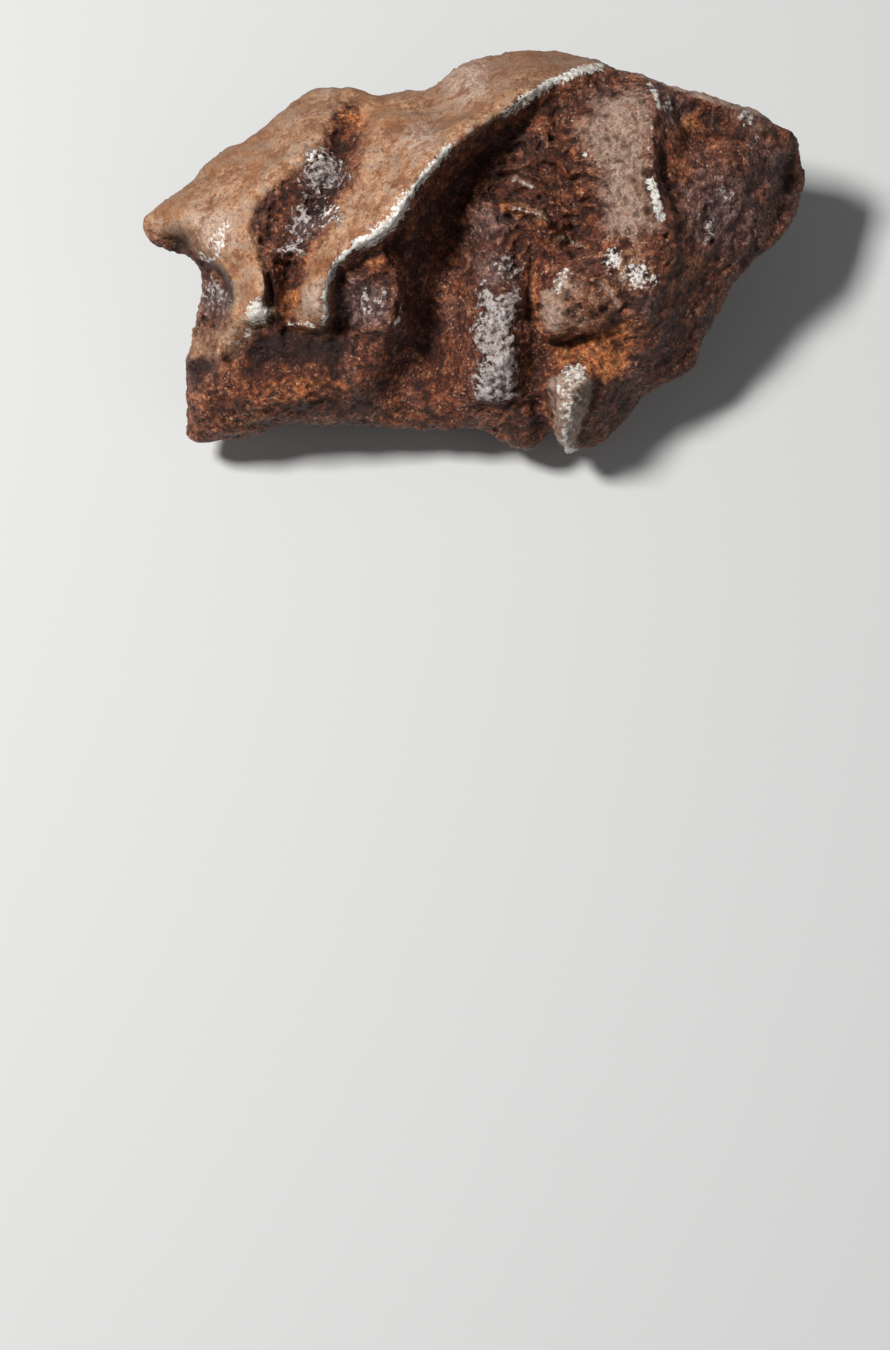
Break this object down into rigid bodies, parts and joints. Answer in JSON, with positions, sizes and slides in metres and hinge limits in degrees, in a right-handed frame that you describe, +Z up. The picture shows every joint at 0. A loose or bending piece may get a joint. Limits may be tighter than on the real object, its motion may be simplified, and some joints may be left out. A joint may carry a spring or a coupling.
{
  "type": "iron meteorite",
  "caption": "Small lump of rusted iron with a winding crest, melted hollows, a pointed horn at one end and a flat underside to lie on.",
  "frame": {"origin": "middle of the lump's plan, at the level of the flat it lies on", "axes": "+Z up; +X along the length, from the pointed horn to the blunt end; +Y towards the high side, so that the hollowed face looks up and towards -Y"},
  "size_m": [0.027, 0.0156, 0.0118],
  "materials": {
    "rusted_iron": "rust brown, worn to pale bare metal along the crests, with orange rust in some hollows"
  },
  "bodies": {
    "root": {"meteorite": "rusted_iron"}
  },
  "joints": []
}
